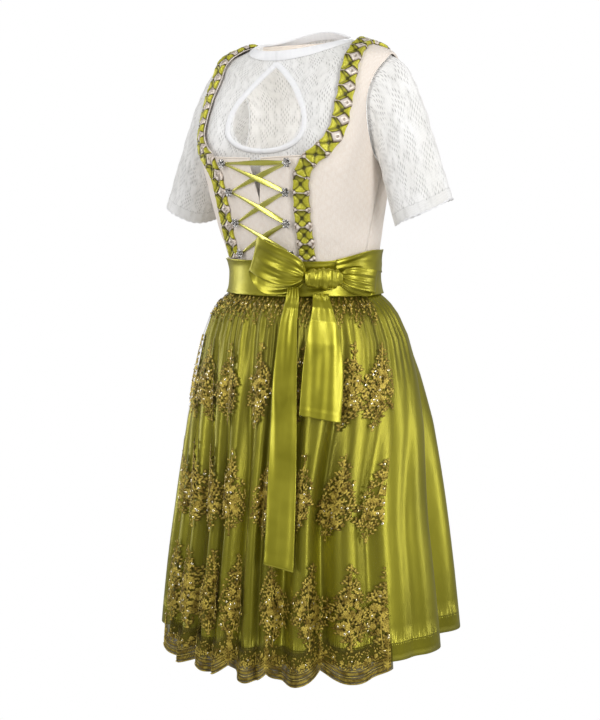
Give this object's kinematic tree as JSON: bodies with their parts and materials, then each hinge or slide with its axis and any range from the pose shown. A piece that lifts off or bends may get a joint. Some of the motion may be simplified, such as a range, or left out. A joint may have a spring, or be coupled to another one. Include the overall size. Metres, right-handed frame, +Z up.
{
  "type": "dirndl dress",
  "caption": "Worn dirndl set, hollow and open at neck, hem and cuffs: lace blouse with a keyhole, hook-laced bodice with ruched trim, gathered satin skirt, tulle apron and bow sash.",
  "frame": {"origin": "between the shoulders at the height of the strap tops, on the middle plane, in the mount named shoulders", "axes": "+Z up along the dress, -Y out of the front, +X to the wearer's left"},
  "size_m": [0.57, 0.4584, 1.0436],
  "materials": {
    "white_lace": "off-white cotton lace with wavy vertical slits, matt",
    "white_satin": "white satin tape, soft sheen",
    "beige_jacquard": "champagne fine jacquard, low sheen",
    "green_satin": "chartreuse to olive satin, silky sheen",
    "green_taffeta": "ruched olive taffeta with a beige underside",
    "bronze_tulle": "olive-brown tulle with gold embroidery",
    "silver": "antique silver, cast relief"
  },
  "bodies": {
    "root": {"apron": "bronze_tulle", "blouse_back": "white_lace", "blouse_front": "white_lace", "blouse_keyhole_binding": "white_satin", "blouse_neck_band": "white_satin", "blouse_sleeve_left": "white_lace", "blouse_sleeve_right": "white_lace", "bodice_back": "beige_jacquard", "bodice_centre_left": "beige_jacquard", "bodice_centre_right": "beige_jacquard", "bodice_side_left": "beige_jacquard", "bodice_side_right": "beige_jacquard", "bow_knot": "green_satin", "bow_loop_left": "green_satin", "bow_loop_right": "green_satin", "bow_tail_long": "green_satin", "bow_tail_short": "green_satin", "hook_left_1": "silver", "hook_left_2": "silver", "hook_left_3": "silver", "hook_left_4": "silver", "hook_right_1": "silver", "hook_right_2": "silver", "hook_right_3": "silver", "hook_right_4": "silver", "lace_over_1": "green_satin", "lace_over_2": "green_satin", "lace_over_3": "green_satin", "lace_top": "green_satin", "lace_under_1": "green_satin", "lace_under_2": "green_satin", "lace_under_3": "green_satin", "skirt": "green_satin", "trim_back": "green_taffeta", "trim_front_left": "green_taffeta", "trim_front_right": "green_taffeta", "waist_sash": "green_satin"}
  },
  "joints": []
}
